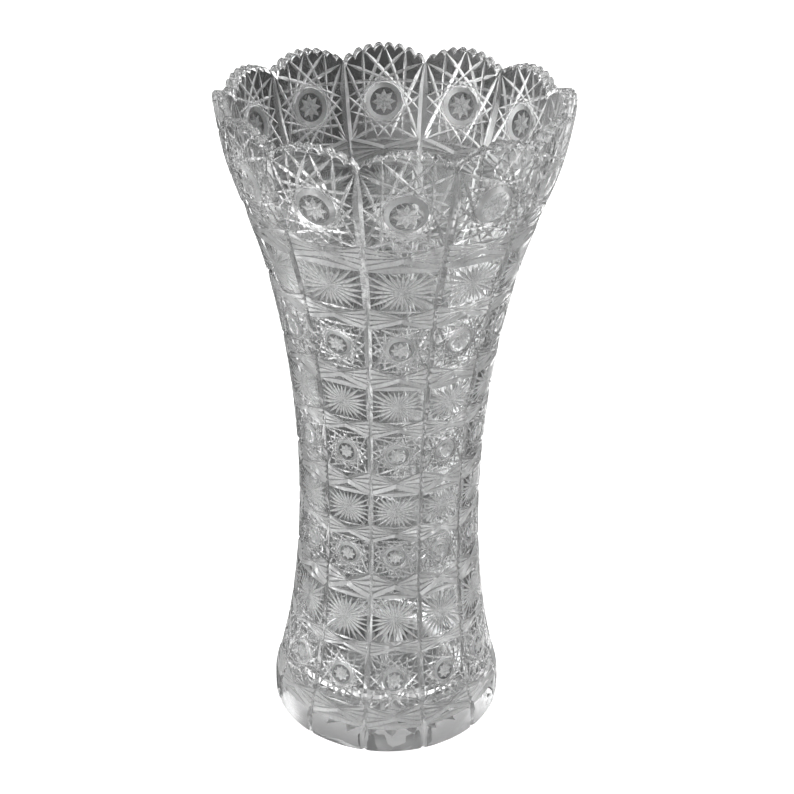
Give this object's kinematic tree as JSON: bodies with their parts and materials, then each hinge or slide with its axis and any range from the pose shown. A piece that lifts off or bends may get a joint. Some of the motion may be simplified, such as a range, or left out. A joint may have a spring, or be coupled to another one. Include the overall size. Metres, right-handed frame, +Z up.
{
  "type": "cut crystal vase",
  "caption": "Trumpet-shaped vase of thick clear cut crystal, with a scalloped saw-toothed rim, upright mitre grooves and rows of cut stars, for standing flowers in water.",
  "frame": {"origin": "middle of the flat underside, on the surface the vase stands on", "axes": "+Z up along the vase's axis towards the rim; -Y through the middle of one of its twelve panels; +X through the middle of another"},
  "size_m": [0.1508, 0.1508, 0.305],
  "materials": {
    "crystal": "clear colourless lead crystal, polished mitre cuts and plain parts, fine star cuts left grey and matte"
  },
  "bodies": {
    "root": {"vase_body": "crystal"}
  },
  "joints": []
}
